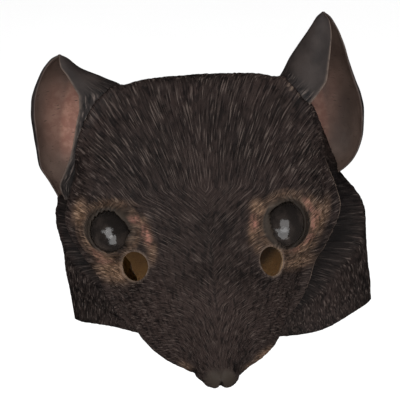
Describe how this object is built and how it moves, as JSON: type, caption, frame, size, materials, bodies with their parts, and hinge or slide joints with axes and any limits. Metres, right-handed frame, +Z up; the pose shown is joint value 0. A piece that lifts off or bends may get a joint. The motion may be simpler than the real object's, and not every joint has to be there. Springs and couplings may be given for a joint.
{
  "type": "animal head mask",
  "caption": "Over-the-head latex animal mask with a pointed muzzle, cupped ears, glossy eyes, cut peepholes and a flaring neck skirt open below.",
  "frame": {"origin": "where the wearer's crown meets the inside of the hood, on the middle plane", "axes": "+Z up as worn, -Y the way the face looks, +X to the right of someone facing the mask"},
  "size_m": [0.2131, 0.2387, 0.1961],
  "materials": {
    "dark_latex": "matt sculpted fur",
    "ear_latex": "matt",
    "eye_gloss": "gloss"
  },
  "bodies": {
    "root": {"hood_skin": "dark_latex", "ear_left": "ear_latex", "ear_right": "ear_latex", "eye_left": "eye_gloss", "eye_right": "eye_gloss"}
  },
  "joints": []
}
